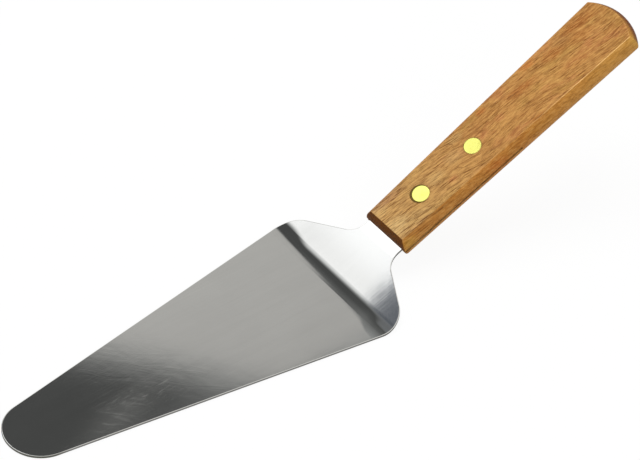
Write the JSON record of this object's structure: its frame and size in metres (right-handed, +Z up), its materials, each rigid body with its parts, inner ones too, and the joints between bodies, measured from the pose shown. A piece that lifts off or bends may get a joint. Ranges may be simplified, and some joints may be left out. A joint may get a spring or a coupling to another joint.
{
  "type": "pie server",
  "caption": "Pie server with a flat wedge-shaped steel blade, a bent neck and tang, and a slotted wooden handle held by brass rivets.",
  "frame": {"origin": "middle of the blade's flat underside, half way from the tip to the crease, on the centre line", "axes": "+X from the tip towards the handle, +Y to the left, +Z up from the blade"},
  "size_m": [0.2636, 0.063, 0.0645],
  "materials": {
    "blade_steel": "satin, brushed along the blade",
    "handle_wood": "sanded and oiled open-pored hardwood",
    "rivet_brass": "ground flush and polished"
  },
  "bodies": {
    "root": {"blade": "blade_steel", "handle": "handle_wood", "front_rivet_stud": "rivet_brass", "front_rivet_sleeve": "rivet_brass", "rear_rivet_stud": "rivet_brass", "rear_rivet_sleeve": "rivet_brass"}
  },
  "joints": []
}
